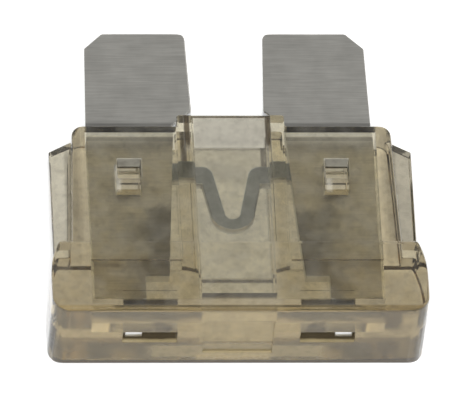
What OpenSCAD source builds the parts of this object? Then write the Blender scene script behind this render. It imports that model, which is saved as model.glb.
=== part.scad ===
// Automotive blade fuse of the regular size: a transparent moulded housing
// and one stamped metal element, whose thin U-shaped link melts on overload.
// Each piece is drawn with X across the two blades, Y from the end of the
// head to the blade tips and Z through the thickness, centred on the sheet.
// It is then laid down flat on the broad back face of its head.

/* [Overall] */
// Length from the end of the head to the blade tips
overall_length = 18.5; // [18:0.1:21]

/* [Head] */
// Width of the head
head_width = 19.1; // [18.9:0.1:21]
// Thickness of the head
head_thickness = 5.1; // [4.6:0.1:6]
// Length of the head, from its end face to the body
head_length = 4.3; // [4:0.1:5]
// Radius of the two corners at the end of the head
head_corner_radius = 0.87; // [0.4:0.01:1.5]
// Radius of the shoulders, where the head draws in to the fins
shoulder_radius = 5.4; // [3.5:0.1:8]
// Length of the shoulders
shoulder_length = 2.2; // [1.5:0.1:2.6]
// Radius of the long edges of the head
head_edge_radius = 0.3; // [0.1:0.05:0.5]
// Width of the bare panel sunk into the end face
panel_width = 3.5; // [2:0.1:5]
// Height of the panel
panel_height = 2.8; // [1.5:0.1:3.6]
// Depth of the panel
panel_depth = 0.12; // [0.05:0.01:0.3]

/* [Body] */
// Height of the blade mouths above the end face
mouth_height = 11.7; // [11.4:0.1:12]
// Width of the body at the mouths
body_width = 16.3; // [15.9:0.1:16.8]
// Thickness of the body at the mouths
body_thickness = 3.7; // [3.6:0.1:4.2]
// Draft of the narrow sides, in degrees
side_draft = 2; // [0.5:0.1:2.5]
// Draft of the broad faces, in degrees
face_draft = 0.8; // [0.2:0.1:1.5]
// Radius of the two corners of the body at the mouths
body_corner_radius = 0.6; // [0.2:0.05:0.8]

/* [Fins] */
// Width across the two fins
fin_span = 18.5; // [17.8:0.1:18.7]
// Thickness of each fin
fin_thickness = 1.1; // [0.7:0.1:1.5]
// Distance from the mouths down to the low end of the slanted corner
fin_corner_drop = 0.75; // [0.5:0.05:2]
// Distance from the mouths down to where the slant leaves the body
fin_root_drop = 0.15; // [0.1:0.05:0.4]

/* [Window] */
// Width of the thin window over the link
window_width = 4; // [3.8:0.1:4.4]
// Thickness of the housing across the window
window_thickness = 3.5; // [3:0.05:3.55]
// Wall between the window and the link chamber
window_wall = 0.4; // [0.3:0.05:0.7]
// Rib left on each side of the link chamber
chamber_rib = 0.1; // [0.05:0.01:0.3]
// Distance that the skirt between the blades stands past the mouths
skirt_length = 0.7; // [0.5:0.05:1]

/* [Slot] */
// Thickness of the cavity in the body, in which the blade roots stand
cavity_thickness = 1.65; // [1.3:0.05:1.8]
// Height of the low end of the cavity above the end face
cavity_floor = 3.7; // [3.2:0.1:5]
// Play between the sheet and each broad wall of the slot in the head
face_play = 0.08; // [0.04:0.01:0.15]
// Play between the sheet and each narrow end of its slot
side_play = 0.1; // [0.05:0.01:0.2]
// Play between the sides of the skirt and the blade roots
skirt_play = 0.12; // [0.05:0.01:0.2]
// Play between the top of the skirt and the blades
notch_play = 0.3; // [0.1:0.05:0.4]
// Wall between the slot and the end face
end_wall = 1.45; // [1.2:0.05:1.8]
// Width of each test slot in the end face
test_slot_width = 2.75; // [2:0.05:3]
// Height of each test slot
test_slot_height = 0.9; // [0.8:0.05:1.2]

/* [Blades] */
// Thickness of the sheet
sheet_thickness = 0.65; // [0.5:0.01:0.8]
// Width of each blade at its tip
blade_width = 5.2; // [5:0.05:5.4]
// Gap between the blades at their tips
blade_gap = 3.96; // [3.8:0.01:4.1]
// Extra width of each blade at the mouth, on each side
blade_flare = 0.15; // [0:0.01:0.2]
// Size of the slanted outer corner of each tip
tip_chamfer = 1; // [0.5:0.05:1.3]
// Radius of the inner corner of each tip
tip_radius = 0.45; // [0.1:0.05:0.8]
// Height of the slant under the inner corner of each blade
notch_slant = 0.95; // [0.5:0.05:1.1]
// Gap between the two blade roots inside the housing, at the mouths
root_gap = 5.74; // [5.6:0.02:6.2]
// Gap between the two blade roots at their low ends
root_low_gap = 6.9; // [6.6:0.05:7.2]
// Height of the low edge of the blade roots above the end face
root_height = 2.9; // [2.5:0.1:3.4]
// Width of the stake hole in each root
stake_width = 1.3; // [1:0.05:1.6]
// Length of the stake hole
stake_length = 1.9; // [1.4:0.05:2.2]
// Distance from the mouth down to the middle of the stake hole
stake_drop = 2.65; // [2.4:0.05:3.2]
// Distance of the stake hole outwards from the middle of the root
stake_shift = 0.2; // [0:0.05:0.4]
// Play between each stake and its hole
stake_play = 0.05; // [0.02:0.01:0.1]
// Depth of the mark that the staking punch leaves in the housing
punch_depth = 0.8; // [0.3:0.1:1]

/* [Test tabs] */
// Width of the tab that runs from each root into the head
tab_width = 2.65; // [2.2:0.05:3]
// Width of the test point at the end of each tab
point_width = 0.9; // [0.7:0.05:1.2]
// Distance of the test point from the tab's inner side
point_inset = 0.2; // [0.1:0.05:0.6]
// Depth of the test point below the end face
point_depth = 0.25; // [0.1:0.05:0.5]

/* [Link] */
// Thickness of the link, which is milled thinner than the blades
link_thickness = 0.42; // [0.3:0.01:0.5]
// Outer radius of the U bend
bend_radius = 1.15; // [1.05:0.05:1.3]
// Width of the metal round the U bend
link_width = 0.75; // [0.5:0.05:0.85]
// Height of the low point of the U bend above the end face
bend_height = 6.25; // [5.6:0.05:6.5]
// Splay of each leg of the U, in degrees
leg_splay = 12; // [6:0.5:14]
// Distance from the mouths down to the top of the arms
arm_drop = 1.5; // [1.3:0.05:1.7]
// Width of the arms that carry the U
arm_width = 1.15; // [0.9:0.05:1.3]
// Radius of the rounded tops of the U, where its legs turn into the arms
arm_corner_radius = 0.6; // [0.2:0.05:0.8]

/* [Hidden] */
$fn = 64;
over = 0.5;

tip_y = overall_length;
skirt_y = mouth_height + skirt_length;
inner_tip_x = blade_gap / 2;
outer_tip_x = inner_tip_x + blade_width;
inner_mouth_x = inner_tip_x - blade_flare;
outer_mouth_x = outer_tip_x + blade_flare;
notch_y = skirt_y + notch_play;
root_x = root_gap / 2;
root_low_x = root_low_gap / 2;
root_slope = (root_low_x - root_x) / (mouth_height - root_height);
skirt_x = root_x - skirt_play;
slot_x = outer_mouth_x + side_play;
slot_height = sheet_thickness + 2 * face_play;
tab_x = outer_mouth_x - tab_width;
tab_y = end_wall + side_play;
point_x = tab_x + point_inset;
test_slot_x = point_x + point_width + side_play - test_slot_width;
stake_x = (root_x + outer_mouth_x) / 2 + stake_shift;
stake_y = mouth_height - stake_drop;
arm_top_y = mouth_height - arm_drop;
arm_low_y = arm_top_y - arm_width;
bend_y = bend_height + bend_radius;
inner_bend_radius = bend_radius - link_width;
chamber_x = window_width / 2 - chamber_rib;
chamber_height = window_thickness - 2 * window_wall;

module lie_down() {
    translate([0, -overall_length / 2, head_thickness / 2]) children();
}

module both_sides() {
    children();
    mirror([1, 0, 0]) children();
}

module both_faces() {
    children();
    mirror([0, 0, 1]) children();
}

// A plate of the given thickness, centred on the sheet
module plate(thickness) {
    translate([0, 0, -thickness / 2]) linear_extrude(thickness) children();
}

// A box that is centred across X and Z and starts at height y
module centred_box(width, y, length, height) {
    translate([-width / 2, y, -height / 2]) cube([width, length, height]);
}

// The points of an arc from one angle to another
function arc(centre, radius, from, to, steps = 8) = [
    for (i = [0:steps])
        let (a = from + (to - from) * i / steps)
            centre + radius * [cos(a), sin(a)]
];

// Half of the head seen from the front, from its end face to its shoulder
module head_outline() {
    side = head_width / 2;
    turn = asin(shoulder_length / shoulder_radius);
    corner = [side - head_corner_radius, head_corner_radius];
    shoulder = [side - shoulder_radius, head_length - shoulder_length];
    polygon(concat(
        [[0, 0]],
        arc(corner, head_corner_radius, -90, 0),
        arc(shoulder, shoulder_radius, 0, turn),
        [[0, head_length]]
    ));
}

// The head seen from the side, with its long edges rounded
module head_section() {
    r = head_edge_radius;
    square_y = head_length - 2 * r;
    square_z = head_thickness - 2 * r;
    translate([r, -square_z / 2]) square([square_y, square_z]);
    translate([0, -square_z / 2]) square([head_length, square_z]);
    translate([r, -head_thickness / 2]) square([square_y, head_thickness]);
    for (y = [r, head_length - r], z = [-1, 1])
        translate([y, z * square_z / 2]) circle(r);
}

module head() {
    intersection() {
        plate(head_thickness) both_sides() head_outline();
        translate([-head_width / 2, 0, 0])
            rotate([90, 0, 90])
                linear_extrude(head_width) head_section();
    }
}

// Half of the body seen from the front, sunk a little into the head
module body_outline() {
    r = body_corner_radius;
    low_y = head_length - over;
    low_x = body_width / 2 + (mouth_height - low_y) * tan(side_draft);
    corner = [body_width / 2 - r, mouth_height - r];
    polygon(concat(
        [[0, low_y], [low_x, low_y]],
        arc(corner, r, side_draft, 90),
        [[0, mouth_height]]
    ));
}

// The body seen from the side, thicker towards the head
module body_section() {
    low_y = head_length - over;
    top_z = body_thickness / 2;
    low_z = top_z + (mouth_height - low_y) * tan(face_draft);
    polygon([
        [low_y, -low_z], [skirt_y, -top_z],
        [skirt_y, top_z], [low_y, low_z]
    ]);
}

// The skirt seen from the front, which stands up between the blades
module skirt_outline() {
    translate([-skirt_x, mouth_height - over])
        square([2 * skirt_x, skirt_length + over]);
}

module body() {
    intersection() {
        plate(head_thickness) {
            both_sides() body_outline();
            skirt_outline();
        }
        translate([-head_width / 2, 0, 0])
            rotate([90, 0, 90])
                linear_extrude(head_width) body_section();
    }
}

// One fin with its slanted corner, sunk into the body and the head
module fin_outline() {
    inner_x = body_width / 2 - body_corner_radius;
    slant_y = mouth_height - fin_root_drop;
    polygon([
        [inner_x, head_length - over],
        [fin_span / 2, head_length - over],
        [fin_span / 2, mouth_height - fin_corner_drop],
        [body_width / 2, slant_y],
        [inner_x, slant_y]
    ]);
}

// What is cut from each broad face to make the thin window
module window_recess() {
    translate([-window_width / 2, head_length, window_thickness / 2])
        cube([window_width, skirt_y, head_thickness]);
}

// The flat slot for the element, the deeper chamber round the link and the
// cavity round each root, which is open at the mouth
module hollow() {
    length = skirt_y - end_wall + over;
    centred_box(2 * slot_x, end_wall, length, slot_height);
    centred_box(2 * chamber_x, end_wall, length, chamber_height);
    both_sides()
        translate([skirt_x, cavity_floor, -cavity_thickness / 2])
            cube([slot_x - skirt_x, length, cavity_thickness]);
}

module test_slot() {
    translate([test_slot_x, -over, -test_slot_height / 2])
        cube([test_slot_width, end_wall + 2 * over, test_slot_height]);
}

module stake(width, length, height) {
    translate([stake_x - width / 2, stake_y - length / 2, -height / 2])
        cube([width, length, height]);
}

// The square mark of the punch that pressed the stake home
module punch_mark() {
    low = body_thickness / 2 - punch_depth;
    size = stake_width - 2 * stake_play;
    translate([stake_x - size / 2, stake_y - size / 2, low])
        cube([size, size, head_thickness]);
}

// Injection-moulded transparent housing: head, body, fins and skirt are
// one piece, and its stakes pass through the holes of the element.
module housing() {
    stake_w = stake_width - 2 * stake_play;
    stake_l = stake_length - 2 * stake_play;
    color([0.66, 0.62, 0.5, 0.6]) lie_down() {
        difference() {
            union() {
                head();
                body();
                both_sides() plate(fin_thickness) fin_outline();
            }
            both_faces() window_recess();
            hollow();
            both_sides() test_slot();
            both_faces() both_sides() punch_mark();
            centred_box(panel_width, -over, over + panel_depth, panel_height);
        }
        both_sides() stake(stake_w, stake_l, cavity_thickness);
    }
}

// Half of the stamped sheet without its link: blade, root and test tab
module blade_outline() {
    low_x = root_x + root_slope * (mouth_height - root_height);
    tip_corner = [inner_tip_x + tip_radius, tip_y - tip_radius];
    difference() {
        polygon(concat(
            [
                [point_x, point_depth],
                [point_x + point_width, point_depth],
                [point_x + point_width, tab_y],
                [outer_mouth_x, tab_y],
                [outer_mouth_x, mouth_height],
                [outer_tip_x, tip_y - tip_chamfer],
                [outer_tip_x - tip_chamfer, tip_y]
            ],
            arc(tip_corner, tip_radius, 90, 180),
            [
                [inner_mouth_x, notch_y + notch_slant],
                [root_x, notch_y],
                [root_x, mouth_height],
                [low_x, root_height],
                [tab_x, root_height],
                [tab_x, tab_y],
                [point_x, tab_y]
            ]
        ));
        translate([stake_x - stake_width / 2, stake_y - stake_length / 2])
            square([stake_width, stake_length]);
    }
}

// The legs of the U, whose sides splay by the angle leg_splay
module legs_outline() {
    high_x = bend_radius + (arm_top_y - bend_y) * tan(leg_splay);
    polygon([
        [-bend_radius, bend_y], [bend_radius, bend_y],
        [high_x, arm_top_y], [-high_x, arm_top_y]
    ]);
}

// Half of the opening inside the U, with its top corner rounded
module opening_outline() {
    corner_y = arm_top_y - arm_corner_radius;
    side_x = inner_bend_radius + (corner_y - bend_y) * tan(leg_splay);
    corner = [side_x + arm_corner_radius / cos(leg_splay), corner_y];
    polygon(concat(
        [[0, bend_y], [inner_bend_radius, bend_y]],
        arc(corner, arm_corner_radius, 180 - leg_splay, 90),
        [[corner[0], arm_top_y + over], [0, arm_top_y + over]]
    ));
}

// The U-shaped link with the two arms that tie it to the roots
module link_outline() {
    arm_x = root_x + root_slope * (mouth_height - arm_low_y) + over;
    difference() {
        union() {
            translate([0, bend_y]) circle(bend_radius);
            legs_outline();
            translate([-arm_x, arm_low_y]) square([2 * arm_x, arm_width]);
        }
        translate([0, bend_y]) circle(inner_bend_radius);
        both_sides() opening_outline();
    }
}

// Stamped element: two blades, their roots and test tabs, and the link
module fuse_element() {
    color([0.56, 0.56, 0.54]) lie_down() {
        plate(sheet_thickness) both_sides() blade_outline();
        plate(link_thickness) link_outline();
    }
}

housing();
fuse_element();
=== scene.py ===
import math

import bmesh
import bpy
from mathutils import Matrix, Vector


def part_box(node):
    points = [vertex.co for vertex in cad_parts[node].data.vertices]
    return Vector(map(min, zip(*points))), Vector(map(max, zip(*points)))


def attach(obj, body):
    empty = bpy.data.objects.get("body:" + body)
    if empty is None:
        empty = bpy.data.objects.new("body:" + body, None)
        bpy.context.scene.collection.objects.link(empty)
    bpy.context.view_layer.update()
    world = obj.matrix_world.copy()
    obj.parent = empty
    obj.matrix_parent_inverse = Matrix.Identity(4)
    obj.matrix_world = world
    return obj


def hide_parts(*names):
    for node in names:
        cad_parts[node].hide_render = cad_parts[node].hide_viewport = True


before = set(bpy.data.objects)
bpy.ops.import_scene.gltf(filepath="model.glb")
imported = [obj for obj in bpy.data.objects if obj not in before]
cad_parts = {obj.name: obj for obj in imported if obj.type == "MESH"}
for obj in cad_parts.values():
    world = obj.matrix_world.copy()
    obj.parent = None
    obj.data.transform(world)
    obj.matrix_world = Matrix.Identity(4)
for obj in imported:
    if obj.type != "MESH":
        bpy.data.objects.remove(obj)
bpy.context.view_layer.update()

# Fuse element: two blades, their roots and test tabs and the thin U between
# them, stamped from one zinc alloy sheet and milled thinner at the link. It is
# slid into the housing and held by two stakes through its square holes.
MM = 0.001
SHARP = math.radians(25)  # faces that turn by more meet at a real edge
FLAT = math.radians(0.4)  # faces that turn by less are one face
JOIN = 0.0005 * MM  # corners nearer than this are one corner
EDGE_ROUND = 0.05 * MM
LINK_ROUND = 0.09 * MM
COIN_LENGTH = 0.132 * MM
COIN_DEPTH = 0.1 * MM
LINK_REACH = 2.8 * MM
LINK_LOW = 6 * MM
LINK_LEVEL = 0.25 * MM
SIDEWAYS = 0.5  # a face whose normal's Z is less is a sheared edge
# The link's low rim is given the bright sheared metal below, as a painted highlight.
TO_HEAD = -0.2  # a link face whose normal's Y is less is its low rim
SHEET_LOW, SHEET_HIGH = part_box("fuse_element")
SHEET_Z = (SHEET_LOW.z + SHEET_HIGH.z) / 2
HEAD_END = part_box("housing")[0].y


def linear(hex_colour):
    """An sRGB hex colour as linear RGBA."""
    rgba = []
    for start in (1, 3, 5):
        level = int(hex_colour[start : start + 2], 16) / 255
        dark = level <= 0.04045
        rgba.append(level / 12.92 if dark else ((level + 0.055) / 1.055) ** 2.4)
    return (*rgba, 1.0)


def add_node(tree, kind, inputs=None, **settings):
    """A node of that kind with its settings, and its inputs set or linked."""
    node = tree.nodes.new(kind)
    for name, value in settings.items():
        setattr(node, name, value)
    for name, value in (inputs or {}).items():
        if isinstance(value, bpy.types.NodeSocket):
            tree.links.new(value, node.inputs[name])
        else:
            node.inputs[name].default_value = value
    return node


def new_material(name):
    """An empty material with its output node."""
    material = bpy.data.materials.new(name)
    material.use_nodes = True
    material.node_tree.nodes.clear()
    output = add_node(material.node_tree, "ShaderNodeOutputMaterial")
    return material, material.node_tree, output


def merged_copy(node, name):
    """A copy of a CAD node's mesh as one closed skin of flat faces."""
    mesh = bpy.data.meshes.new(name)
    skin = bmesh.new()
    skin.from_mesh(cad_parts[node].data)
    bmesh.ops.remove_doubles(skin, verts=skin.verts, dist=JOIN)
    bmesh.ops.dissolve_limit(
        skin,
        angle_limit=FLAT,
        verts=skin.verts,
        edges=skin.edges,
    )
    skin.to_mesh(mesh)
    skin.free()
    piece = bpy.data.objects.new(name, mesh)
    bpy.context.scene.collection.objects.link(piece)
    return piece


def round_edges(piece, radius_at, segments=3):
    """Rounds each sharp edge by the radius at its middle, 0 to leave it."""
    mesh = piece.data
    skin = bmesh.new()
    skin.from_mesh(mesh)
    weight = skin.edges.layers.float.new("bevel_weight_edge")
    radii = {}
    for edge in skin.edges:
        if edge.calc_face_angle(0.0) > SHARP:
            radii[edge] = radius_at((edge.verts[0].co + edge.verts[1].co) / 2)
    largest = max(radii.values())
    for edge, radius in radii.items():
        edge[weight] = radius / largest
    skin.to_mesh(mesh)
    skin.free()
    mesh.shade_smooth()
    bevel = piece.modifiers.new("rounding", "BEVEL")
    bevel.limit_method = "WEIGHT"
    bevel.width = largest
    bevel.segments = segments
    bevel.use_clamp_overlap = False
    bake_modifiers(piece)


def keep_flats(piece):
    """Shades the broad faces flat and lets only the rounded edges turn."""
    piece.data.set_sharp_from_angle(angle=SHARP)
    flats = piece.modifiers.new("flat_faces", "WEIGHTED_NORMAL")
    flats.keep_sharp = True
    flats.weight = 100
    bake_modifiers(piece)


def bake_modifiers(piece):
    """Makes the modifiers' result the piece's own mesh."""
    graph = bpy.context.evaluated_depsgraph_get()
    made = bpy.data.meshes.new_from_object(piece.evaluated_get(graph), depsgraph=graph)
    piece.modifiers.clear()
    piece.data = made
    made.name = piece.name


def coin_tips(piece):
    """Thins the blade tips over their last stretch, as the press leaves them."""
    skin = bmesh.new()
    skin.from_mesh(piece.data)
    start = SHEET_HIGH.y - COIN_LENGTH
    bmesh.ops.bisect_plane(
        skin,
        geom=[*skin.verts, *skin.edges, *skin.faces],
        dist=4 * JOIN,
        plane_co=(0, start, 0),
        plane_no=(0, 1, 0),
    )
    slope = COIN_DEPTH / COIN_LENGTH / (SHEET_HIGH.z - SHEET_Z)
    for vertex in skin.verts:
        if vertex.co.y > start:
            thinned = 1 - slope * (vertex.co.y - start)
            vertex.co.z = SHEET_Z + (vertex.co.z - SHEET_Z) * thinned
    skin.to_mesh(piece.data)
    skin.free()


def element_radius(middle):
    """The thin link is rounded more than the thick sheet round it."""
    on_link = abs(middle.x) < LINK_REACH and middle.y - HEAD_END > LINK_LOW
    return LINK_ROUND if on_link else EDGE_ROUND


element = merged_copy("fuse_element", "fuse_element_stamped")
round_edges(element, element_radius)
coin_tips(element)
keep_flats(element)


RELIEF = 0.004 * MM
NOISE_LOW, NOISE_HIGH = 0.3, 0.7


def lined_metal(name, lines, colours, roughness):
    """A metal with fine lines, which its colour, gloss and relief follow.

    lines is the number of lines a metre along X, Y and Z."""
    material, tree, output = new_material(name)
    place = add_node(tree, "ShaderNodeTexCoord").outputs["Object"]
    stretched = add_node(tree, "ShaderNodeMapping", {"Vector": place, "Scale": lines})
    grain = add_node(
        tree,
        "ShaderNodeTexNoise",
        {"Vector": stretched.outputs["Vector"], "Scale": 1.0, "Detail": 3.0},
    ).outputs["Fac"]
    tint = add_node(tree, "ShaderNodeValToRGB", {"Fac": grain})
    ends = (NOISE_LOW, NOISE_HIGH)
    for stop, position, colour in zip(tint.color_ramp.elements, ends, colours):
        stop.position = position
        stop.color = linear(colour)
    gloss = add_node(
        tree,
        "ShaderNodeMapRange",
        {"Value": grain, "To Min": roughness[0], "To Max": roughness[1]},
    )
    relief = add_node(
        tree,
        "ShaderNodeBump",
        {"Height": grain, "Strength": 0.25, "Distance": RELIEF},
    )
    shader = add_node(
        tree,
        "ShaderNodeBsdfPrincipled",
        {
            "Base Color": tint.outputs["Color"],
            "Metallic": 1.0,
            "Roughness": gloss.outputs["Result"],
            "Normal": relief.outputs["Normal"],
        },
    )
    tree.links.new(shader.outputs["BSDF"], output.inputs["Surface"])
    return material, tint, shader


def place_on_fuse(tree):
    """Where a point lies, in metres: across is its distance from the middle of
    the fuse, along from the end of the head and level from the sheet."""
    place = add_node(tree, "ShaderNodeTexCoord").outputs["Object"]
    xyz = add_node(tree, "ShaderNodeSeparateXYZ", {"Vector": place}).outputs
    across = add_node(tree, "ShaderNodeMath", {0: xyz["X"]}, operation="ABSOLUTE")
    along = add_node(
        tree, "ShaderNodeMath", {0: xyz["Y"], 1: HEAD_END}, operation="SUBTRACT"
    )
    over = add_node(
        tree, "ShaderNodeMath", {0: xyz["Z"], 1: SHEET_Z}, operation="SUBTRACT"
    )
    level = add_node(
        tree, "ShaderNodeMath", {0: over.outputs["Value"]}, operation="ABSOLUTE"
    )
    return {
        "place": place,
        "x": xyz["X"],
        "z": xyz["Z"],
        "across": across.outputs["Value"],
        "along": along.outputs["Value"],
        "level": level.outputs["Value"],
    }


def zone(tree, *limits):
    """1 inside all the limits, down to 0 past their soft borders.

    Each limit is a value, its low end and high end, where it has one, and the
    width of the border."""
    share = 1.0
    for value, low, high, border in limits:
        for end, past in ((low, -border), (high, border)):
            if end is not None:
                share = add_node(
                    tree,
                    "ShaderNodeMapRange",
                    {
                        "Value": value,
                        "From Min": end + past,
                        "From Max": end,
                        "To Max": share,
                    },
                    interpolation_type="SMOOTHSTEP",
                ).outputs["Result"]
    return share


# Rolled zinc alloy, tarnished to a dull mid grey. Fine streaks run across the
# blades from rolling, drawn coarser than they are so that they show. Softer
# patches have dulled more. The roots inside the housing are painted lighter than
# the blades outside it, as painted light for the lamp light that the plastic keeps
# off them. At each mouth two lines of painted shade, cast by the mouth's edge, lie
# on the metal with a band of painted light between them, and the inner low part of
# each root is darker.
# The roots under the plastic get a lighter tone than the blades outside it: painted
# light for the lamp light that the plastic keeps off them.
BLADE_TONE = 0.86
ROOT_PAINTED_LIGHT_TONE = 1.25
BARE_FROM = (12.1 * MM, 12.6 * MM)
INNER_ROOT_TONE = 0.4
INNER_ROOT_RAGGED = 0.35 * MM
PATCH_TONES = (0.93, 1.07)
MOUTH_SHADE_TONE = 0.53
MOUTH_LIGHT_TONE = 1.27
# Distance from the end of the head in mm, and tone there: the dark lines are painted
# shade and the bright stretch between them is painted light.
MOUTH_SHADE_AND_LIGHT = (
    (11.42, 1.0),
    (11.5, MOUTH_SHADE_TONE),
    (11.66, MOUTH_SHADE_TONE),
    (11.76, MOUTH_LIGHT_TONE),
    (12.06, MOUTH_LIGHT_TONE),
    (12.16, 0.9),
    (12.62, 0.9),
    (12.7, MOUTH_SHADE_TONE),
    (12.84, MOUTH_SHADE_TONE),
    (12.94, 0.9),
)
zinc, zinc_tint, zinc_shader = lined_metal(
    "rolled_zinc_sheet", (0.6e3, 14e3, 6e3), ("#CCCAC3", "#DDDBD4"), (0.5, 0.4)
)
tree = zinc.node_tree
at = place_on_fuse(tree)

lines_start, lines_end = MOUTH_SHADE_AND_LIGHT[0][0] * MM, MOUTH_SHADE_AND_LIGHT[-1][0] * MM
over_lines = add_node(
    tree,
    "ShaderNodeMapRange",
    {"Value": at["along"], "From Min": lines_start, "From Max": lines_end},
).outputs["Result"]
# Painted shade and painted light across the metal at each mouth.
painted_mouth_light_and_shade = add_node(tree, "ShaderNodeValToRGB", {"Fac": over_lines})
stops = painted_mouth_light_and_shade.color_ramp.elements
for distance, _ in MOUTH_SHADE_AND_LIGHT[1:-1]:
    stops.new((distance * MM - lines_start) / (lines_end - lines_start))
for stop, (_, tone) in zip(stops, MOUTH_SHADE_AND_LIGHT):
    stop.color = (tone, tone, tone, 1)

# Painted light: lighter roots inside the housing, darker blades outside it.
root_painted_light = add_node(
    tree,
    "ShaderNodeMapRange",
    {
        "Value": at["along"],
        "From Min": BARE_FROM[0],
        "From Max": BARE_FROM[1],
        "To Min": ROOT_PAINTED_LIGHT_TONE,
        "To Max": BLADE_TONE,
    },
).outputs["Result"]

patches = add_node(
    tree,
    "ShaderNodeTexNoise",
    {"Vector": at["place"], "Scale": 0.9e3, "Detail": 4.0},
).outputs["Fac"]
dulled = add_node(
    tree,
    "ShaderNodeMapRange",
    {
        "Value": patches,
        "From Min": NOISE_LOW,
        "From Max": NOISE_HIGH,
        "To Min": PATCH_TONES[0],
        "To Max": PATCH_TONES[1],
    },
).outputs["Result"]
ragged = add_node(
    tree,
    "ShaderNodeMapRange",
    {
        "Value": patches,
        "From Min": NOISE_LOW,
        "From Max": NOISE_HIGH,
        "To Min": -INNER_ROOT_RAGGED,
        "To Max": INNER_ROOT_RAGGED,
    },
).outputs["Result"]
ragged_across = add_node(
    tree, "ShaderNodeMath", {0: at["across"], 1: ragged}, operation="ADD"
).outputs["Value"]
ragged_along = add_node(
    tree, "ShaderNodeMath", {0: at["along"], 1: ragged}, operation="ADD"
).outputs["Value"]
# The inner low part of each root is darker, with a ragged border.
inner_root_share = zone(
    tree,
    (ragged_across, None, 3.6 * MM, 2.8 * MM),
    (ragged_along, None, 6.9 * MM, 0.7 * MM),
)
inner_root_darkening = add_node(
    tree,
    "ShaderNodeMapRange",
    {"Value": inner_root_share, "To Min": 1.0, "To Max": INNER_ROOT_TONE},
).outputs["Result"]
toned = zinc_tint.outputs["Color"]
for tone in (dulled, painted_mouth_light_and_shade.outputs["Color"], root_painted_light, inner_root_darkening):
    toned = add_node(
        tree, "ShaderNodeVectorMath", {0: toned, "Scale": tone}, operation="SCALE"
    ).outputs["Vector"]
tree.links.new(toned, zinc_shader.inputs["Base Color"])

# The sheared edges of the stamping: cleaner metal with fine lines through its
# thickness, left by the punch, and brighter, partly as a painted highlight.
sheared = lined_metal(
    "sheared_zinc_edge", (20e3, 20e3, 1e3), ("#DDDEDF", "#E9EAEB"), (0.25, 0.35)
)[0]

# The two faces of the link, milled after stamping: a darker bluish grey with
# fine mill lines along the blades.
milled = lined_metal(
    "milled_zinc_link", (16e3, 1e3, 1e3), ("#949CA2", "#A0A8AE"), (0.35, 0.45)
)[0]

element.data.materials.clear()
for surface in (zinc, sheared, milled):
    element.data.materials.append(surface)
for face in element.data.polygons:
    on_link = abs(face.center.z - SHEET_Z) < LINK_LEVEL
    # The link's low rim, which faces the head, gets the bright sheared metal as a
    # painted highlight.
    highlit_low_rim = on_link and face.normal.y < TO_HEAD
    if abs(face.normal.z) < SIDEWAYS or highlit_low_rim:
        face.material_index = 1
    else:
        face.material_index = 2 if on_link else 0
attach(element, "root")
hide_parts("fuse_element")

# Housing: head, body, side fins and the skirt between the blades, injection
# moulded in one piece from transparent, slightly smoky polycarbonate. Its two
# stakes are pressed through the holes of the element from both faces.
HEAD_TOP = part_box("housing")[1].z
MOULD_ROUND = 0.12 * MM
FINE_ROUND = 0.05 * MM
DEEP_ROUND = 0.03 * MM
NEAR = 0.05 * MM  # room for rounding where a limit lies on a face
END_DEPTH = 0.2 * MM
SLOT_LEVEL = 0.45 * MM
CAVITY_LOW = 3 * MM
CAVITY_SIDE = 7.55 * MM
CAVITY_LEVEL = 0.85 * MM
CHAMBER_LEVEL = 1.35 * MM
WINDOW_SIDE = 2 * MM
SKIRT_END = 12.35 * MM
MOUTH = 11.65 * MM
PUNCH_SIDES = (3.5 * MM, 6.5 * MM)
PUNCH_ENDS = (7.9 * MM, 10 * MM)
FIN_SIDE = 7.3 * MM
FIN_END = 10.6 * MM
FIN_LEVEL = 0.7 * MM


def housing_radius(middle):
    """Outer edges are well rounded, small recesses less, and hollows not."""
    across = abs(middle.x)
    along = middle.y - HEAD_END
    level = abs(middle.z - SHEET_Z)
    in_end = along < END_DEPTH
    if along > NEAR and level < SLOT_LEVEL + NEAR:
        return 0.0
    if not in_end and across < WINDOW_SIDE - NEAR and level < CHAMBER_LEVEL + NEAR:
        return DEEP_ROUND if along > SKIRT_END - NEAR else 0.0
    if not in_end and across < WINDOW_SIDE + NEAR:
        return DEEP_ROUND
    by_cavity = across < CAVITY_SIDE + NEAR and level < CAVITY_LEVEL + NEAR
    if by_cavity and along > CAVITY_LOW:
        return FINE_ROUND if along > MOUTH - NEAR else 0.0
    if in_end and (across < WINDOW_SIDE or level < SLOT_LEVEL + NEAR):
        return DEEP_ROUND
    in_punch_mark = PUNCH_SIDES[0] < across < PUNCH_SIDES[1]
    if in_punch_mark and PUNCH_ENDS[0] < along < PUNCH_ENDS[1]:
        return FINE_ROUND
    if across > FIN_SIDE and along > FIN_END and level < FIN_LEVEL:
        return FINE_ROUND
    return MOULD_ROUND


housing = merged_copy("housing", "housing_moulding")
round_edges(housing, housing_radius)
keep_flats(housing)

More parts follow.
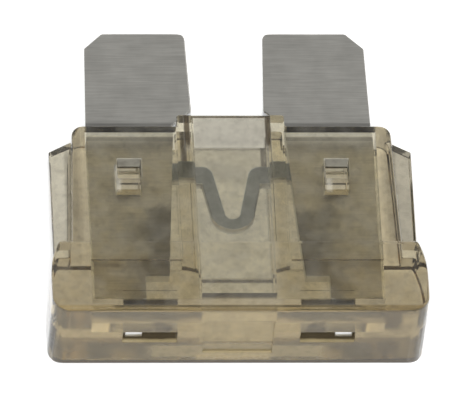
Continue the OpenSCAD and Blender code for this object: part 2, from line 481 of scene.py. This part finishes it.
# Polycarbonate, injection moulded: clear with a smoky amber tint that deepens
# with thickness. Handling has scuffed its outside in patches about a millimetre
# across, and the end face is dull. The far end of the window and the right fin are
# tinted grey as painted shade. The specks of grime are drawn coarser than they are.
GLOSSIEST, LEAST_GLOSSY = 0.03, 0.12
END_DULLNESS = 0.12
plastic, tree, output = new_material("smoky_clear_polycarbonate")
at = place_on_fuse(tree)
scuffs = add_node(
    tree,
    "ShaderNodeTexNoise",
    {"Vector": at["place"], "Scale": 1.1e3, "Detail": 5.0},
).outputs["Fac"]
gloss = add_node(
    tree,
    "ShaderNodeMapRange",
    {
        "Value": scuffs,
        "From Min": NOISE_LOW,
        "From Max": NOISE_HIGH,
        "To Min": GLOSSIEST,
        "To Max": LEAST_GLOSSY,
    },
).outputs["Result"]
end_face = (at["along"], None, END_DEPTH, 0.2 * MM)
on_end = zone(tree, end_face)
dull_gloss = add_node(
    tree,
    "ShaderNodeMath",
    {0: on_end, 1: END_DULLNESS, 2: gloss},
    operation="MULTIPLY_ADD",
).outputs["Value"]
# Painted shade: a grey tint over the right fin and over the window's far end.
shaded_right_fin = zone(
    tree, (at["x"], 8.4 * MM, None, 0.3 * MM), (at["along"], 5 * MM, None, 0.8 * MM)
)
shaded_window_end = zone(
    tree,
    (at["across"], None, 1.85 * MM, 0.1 * MM),
    (at["along"], 10.8 * MM, None, 0.6 * MM),
)

# Where the plastic is clouded: by the scuffs on its outside, on the end face, in
# the middle of the face that lies up, in a white strip beside each punch mark that
# is a painted highlight, and where the punch's far side has stressed the plastic
# white.
in_chamber = zone(
    tree,
    (at["across"], None, WINDOW_SIDE, NEAR),
    (at["level"], None, CHAMBER_LEVEL, NEAR),
    (at["along"], 1 * MM, SKIRT_END - 2 * NEAR, NEAR),
)
in_cavity = zone(
    tree,
    (at["across"], None, CAVITY_SIDE, NEAR),
    (at["level"], None, CAVITY_LEVEL, NEAR),
    (at["along"], 1 * MM, MOUTH - 2 * NEAR, NEAR),
)
inside = add_node(
    tree, "ShaderNodeMath", {0: in_chamber, 1: in_cavity}, operation="MAXIMUM"
).outputs["Value"]
outside = add_node(
    tree, "ShaderNodeMath", {0: 1.0, 1: inside}, operation="SUBTRACT"
).outputs["Value"]
scuffed = zone(tree, (scuffs, 0.7, None, 0.35), (outside, 1.0, None, 1.0))
face_up = (at["z"], 4.1 * MM, None, 0.1 * MM)
handled = zone(
    tree,
    (at["across"], None, 1.9 * MM, 0.3 * MM),
    (at["along"], None, 10.2 * MM, 0.6 * MM),
    face_up,
)
low_middle = zone(
    tree,
    end_face,
    (at["across"], None, 4 * MM, 1 * MM),
    (at["z"], 0.9 * MM, 1.7 * MM, 0.3 * MM),
)
# Painted highlight: a white strip beside each punch mark, on the face that lies up.
highlight_ends = (at["along"], 7.8 * MM, 9.1 * MM, 0.3 * MM)
highlight_level = (at["z"], 3.8 * MM, None, 0.1 * MM)
left_painted_highlight = zone(
    tree, (at["x"], -5.95 * MM, -5.85 * MM, 0.2 * MM), highlight_ends, highlight_level
)
right_painted_highlight = zone(
    tree, (at["x"], 4.8 * MM, 4.9 * MM, 0.2 * MM), highlight_ends, highlight_level
)
punch_walls = zone(
    tree,
    (at["across"], 4.65 * MM, 5.9 * MM, 0.03 * MM),
    (at["along"], 9.58 * MM, 9.66 * MM, 0.03 * MM),
    (at["level"], 1.2 * MM, None, 0.1 * MM),
)

# Where brown lies: as grime in thin patches and specks all over; as painted shade
# in the test slots and on the end face over them, on the mouths beside the blades,
# along both sides of the window's far end, in the corners between body and fins
# and in the punch marks; and darker along the low edge of the end face and towards
# its right corner.
# Painted shade in the test slots and on the end face over them.
shaded_slots = zone(
    tree,
    (at["across"], 3.2 * MM, None, 0.2 * MM),
    (at["along"], 0.3 * MM, 1.3 * MM, 0.2 * MM),
    (at["level"], None, SLOT_LEVEL, NEAR),
)
shaded_over_slots = zone(
    tree,
    end_face,
    (at["across"], 3.5 * MM, 4.2 * MM, 0.4 * MM),
    (at["z"], 2.7 * MM, 3.9 * MM, 0.4 * MM),
    (scuffs, 0.55, None, 0.2),
)
# Browner and darker along the low edge of the end face and towards its right corner.
low_edge = zone(tree, end_face, (at["z"], None, 0.4 * MM, 0.3 * MM))
right_corner = zone(tree, end_face, (at["x"], 8 * MM, None, 4 * MM))
# Painted shade on the mouth faces beside the blades, which darkens their mirror band.
shaded_mouths = zone(
    tree,
    (at["across"], 2.9 * MM, 7.3 * MM, 0.15 * MM),
    (at["along"], 11.67 * MM, 11.8 * MM, 0.03 * MM),
)
far_end = (at["along"], 10.8 * MM, None, 1 * MM)
top_faces = (at["level"], 1.7 * MM, None, 0.1 * MM)
# Painted shade: dark lines along both sides of the window's far end.
shaded_window_left = zone(
    tree, (at["x"], -2.36 * MM, -2.16 * MM, 0.1 * MM), far_end, top_faces
)
shaded_window_right = zone(
    tree, (at["x"], 1.8 * MM, 1.96 * MM, 0.1 * MM), far_end, top_faces
)
# Painted shade in the corners between body and fins.
shaded_fin_corners = zone(
    tree,
    (at["across"], 7.85 * MM, 8.35 * MM, 0.2 * MM),
    (at["along"], 4.6 * MM, 11.2 * MM, 0.4 * MM),
)
# Painted shade in the punch marks.
shaded_punch_marks = zone(
    tree,
    (at["across"], 4.7 * MM, 5.85 * MM, 0.1 * MM),
    (at["along"], 8.5 * MM, 9.6 * MM, 0.1 * MM),
    (at["level"], 1.2 * MM, None, 0.1 * MM),
)
in_patches = zone(tree, (scuffs, 0.62, None, 0.2))
specks = add_node(
    tree,
    "ShaderNodeTexNoise",
    {"Vector": at["place"], "Scale": 2.6e3, "Detail": 6.0},
).outputs["Fac"]
in_specks = zone(tree, (specks, 0.66, None, 0.2))

# Each place, how much of the light its clouding scatters and how brown it is.
clouded_places = (
    (scuffed, 0.07, 0.0),
    (on_end, 0.15, 0.0),
    (handled, 0.06, 0.0),
    (low_middle, 0.25, 0.0),
    (left_painted_highlight, 0.3, 0.0),
    (right_painted_highlight, 0.3, 0.0),
    (shaded_slots, 0.65, 1.0),
    (shaded_over_slots, 0.35, 0.7),
    (low_edge, 0.65, 1.0),
    (right_corner, 0.08, 0.5),
    (shaded_mouths, 1.0, 1.0),
    (shaded_window_left, 0.5, 1.0),
    (shaded_window_right, 0.5, 1.0),
    (shaded_fin_corners, 0.0, 0.35),
    (punch_walls, 0.5, 0.0),
    (shaded_punch_marks, 0.3, 0.45),
    (in_patches, 0.0, 0.12),
    (in_specks, 0.0, 0.15),
)
clear = 1.0
brown = 0.0
for share, clouding, browning in clouded_places:
    clear = add_node(
        tree,
        "ShaderNodeMath",
        {0: share, 1: -clouding, 2: clear},
        operation="MULTIPLY_ADD",
        use_clamp=True,
    ).outputs["Value"]
    brown = add_node(
        tree,
        "ShaderNodeMath",
        {0: share, 1: browning, 2: brown},
        operation="MULTIPLY_ADD",
        use_clamp=True,
    ).outputs["Value"]
skin_colour = linear("#F2EEDE")
# The right fin and the window's far end take a grey tint of painted shade.
for share, colour in (
    (shaded_right_fin, "#C6C1B2"),
    (shaded_window_end, "#D2CEC1"),
    (on_end, "#D8C494"),
    (brown, "#4F4534"),
):
    skin_colour = add_node(
        tree,
        "ShaderNodeMix",
        {"Factor": share, 6: skin_colour, 7: linear(colour)},
        data_type="RGBA",
    ).outputs[2]
plastic_shader = add_node(
    tree,
    "ShaderNodeBsdfPrincipled",
    {
        "Base Color": skin_colour,
        "Roughness": dull_gloss,
        "IOR": 1.585,
        "Transmission Weight": clear,
    },
)
depth_tint = add_node(
    tree,
    "ShaderNodeVolumeAbsorption",
    {"Color": linear("#D5B600"), "Density": 150.0},
)
tree.links.new(plastic_shader.outputs["BSDF"], output.inputs["Surface"])
tree.links.new(depth_tint.outputs["Volume"], output.inputs["Volume"])
housing.data.materials.clear()
housing.data.materials.append(plastic)
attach(housing, "root")
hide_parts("housing")

# Studio: a plain white paper floor just under the fuse, and a room round it.
# The floor glows a little where it is seen, and only there, so that it shows
# white and still takes the fuse's shadow.
FLOOR_SIZE = 1.2
FLOOR_DROP = 0.03 * MM
FLOOR_GLOW = 0.5

floor_mesh = bpy.data.meshes.new("floor")
half = FLOOR_SIZE / 2
corners = ((-half, -half), (half, -half), (half, half), (-half, half))
floor_mesh.from_pydata([(x, y, -FLOOR_DROP) for x, y in corners], [], [(0, 1, 2, 3)])
floor = bpy.data.objects.new("floor", floor_mesh)
bpy.context.scene.collection.objects.link(floor)


def seen_directly(tree):
    """1 for rays from the camera, a mirror or clear plastic, and 0 for light."""
    path = add_node(tree, "ShaderNodeLightPath")
    glossy = add_node(
        tree,
        "ShaderNodeMath",
        {0: path.outputs["Is Camera Ray"], 1: path.outputs["Is Glossy Ray"]},
        operation="MAXIMUM",
    )
    return add_node(
        tree,
        "ShaderNodeMath",
        {0: glossy.outputs["Value"], 1: path.outputs["Is Transmission Ray"]},
        operation="MAXIMUM",
    ).outputs["Value"]


paper, tree, output = new_material("white_paper_floor")
paper_shader = add_node(
    tree,
    "ShaderNodeBsdfPrincipled",
    {"Base Color": linear("#F6F6F5"), "Roughness": 0.9, "Specular IOR Level": 0.1},
)
glow = add_node(
    tree,
    "ShaderNodeMath",
    {0: seen_directly(tree), 1: FLOOR_GLOW},
    operation="MULTIPLY",
)
paper_glow = add_node(
    tree,
    "ShaderNodeEmission",
    {"Color": (1, 1, 1, 1), "Strength": glow.outputs["Value"]},
)
paper_sum = add_node(
    tree,
    "ShaderNodeAddShader",
    {0: paper_shader.outputs["BSDF"], 1: paper_glow.outputs["Emission"]},
)
tree.links.new(paper_sum.outputs["Shader"], output.inputs["Surface"])
floor.data.materials.append(paper)

# The room is white low down all round. Higher up it is bright on the far
# side, over the blade tips, and dim on the near side, behind the camera.
NEAR_SIDE, FAR_SIDE = 0.15, 0.52
TURNS_BRIGHT = (-0.35, 0.45)
WHITE_UNDER, ROOM_OVER = 0.05, 0.2
world = bpy.data.worlds.new("studio_room")
world.use_nodes = True
tree = world.node_tree
tree.nodes.clear()
direction = add_node(tree, "ShaderNodeTexCoord").outputs["Generated"]
xyz = add_node(tree, "ShaderNodeSeparateXYZ", {"Vector": direction}).outputs
bright = add_node(
    tree,
    "ShaderNodeMapRange",
    {
        "Value": xyz["Y"],
        "From Min": TURNS_BRIGHT[0],
        "From Max": TURNS_BRIGHT[1],
        "To Min": NEAR_SIDE,
        "To Max": FAR_SIDE,
    },
    interpolation_type="SMOOTHSTEP",
).outputs["Result"]
raised = add_node(
    tree,
    "ShaderNodeMapRange",
    {"Value": xyz["Z"], "From Min": WHITE_UNDER, "From Max": ROOM_OVER},
    interpolation_type="SMOOTHSTEP",
).outputs["Result"]
strength = add_node(
    tree, "ShaderNodeMix", {"Factor": raised, 2: 1.0, 3: bright}, data_type="FLOAT"
).outputs[0]
surround = add_node(
    tree,
    "ShaderNodeBackground",
    {"Color": (1, 1, 1, 1), "Strength": strength},
)
world_output = add_node(tree, "ShaderNodeOutputWorld")
tree.links.new(surround.outputs["Background"], world_output.inputs["Surface"])
bpy.context.scene.world = world


def soft_lamp(name, place, size, power):
    """A square soft lamp at place, facing the fuse."""
    light = bpy.data.lights.new(name, "AREA")
    light.shape = "SQUARE"
    light.size = size
    light.energy = power
    lamp = bpy.data.objects.new(name, light)
    bpy.context.scene.collection.objects.link(lamp)
    aim = Vector((0, 0, 2 * MM)) - Vector(place)
    lamp.location = place
    lamp.rotation_mode = "QUATERNION"
    lamp.rotation_quaternion = aim.to_track_quat("-Z", "Y")
    return lamp


# Camera: a long lens that looks down on the lying fuse from past its head,
# 34 degrees off its broad face and turned a little to the left.
PITCH = math.radians(34)
TURN = math.radians(4.6)
DISTANCE = 0.8
LENS_PX = 15720
IMAGE_WIDTH_PX = 472
SENSOR = 36.0
AIM_RIGHT, AIM_UP = 0.275 * MM, -0.718 * MM

up = Vector((0, math.cos(PITCH), math.sin(PITCH)))
side = math.cos(TURN) * Vector((1, 0, 0)) + math.sin(TURN) * Vector(
    (0, -math.sin(PITCH), math.cos(PITCH))
)
side.normalize()
back = side.cross(up).normalized()
up = back.cross(side).normalized()
sheet_level = Vector((0, 0, HEAD_TOP / 2))
aim = sheet_level + AIM_RIGHT * side + AIM_UP * up
camera_data = bpy.data.cameras.new("camera")
camera_data.sensor_width = SENSOR
camera_data.lens = LENS_PX / IMAGE_WIDTH_PX * SENSOR
camera_data.clip_start = 0.05
camera_data.clip_end = 10
camera = bpy.data.objects.new("camera", camera_data)
bpy.context.scene.collection.objects.link(camera)
pose = Matrix((side, up, back)).transposed().to_4x4()
pose.translation = aim + DISTANCE * back
camera.matrix_world = pose
bpy.context.scene.camera = camera

# Lamps: the key lamp stands on the camera's axis and gives the even light. The
# metal mirrors only the weak sheen lamp beside it, so that the blades don't burn
# out from the far side. A small lamp to the right puts glints on edges. Light
# that the plastic would focus on the floor is left out: the real one is even.
KEY_SIZE = 0.1
key_place = 0.6 * back
key_lamp = soft_lamp("key_lamp", place=key_place, size=KEY_SIZE, power=1.8)
key_lamp.visible_glossy = False
key_lamp.visible_transmission = False
sheen_lamp = soft_lamp("sheen_lamp", place=key_place, size=KEY_SIZE, power=0.5)
sheen_lamp.visible_transmission = False
soft_lamp("glint_lamp", place=(0.4, 0.15, 0.35), size=0.03, power=0.5)
bpy.context.scene.cycles.caustics_refractive = False
bpy.context.scene.view_settings.view_transform = "Standard"
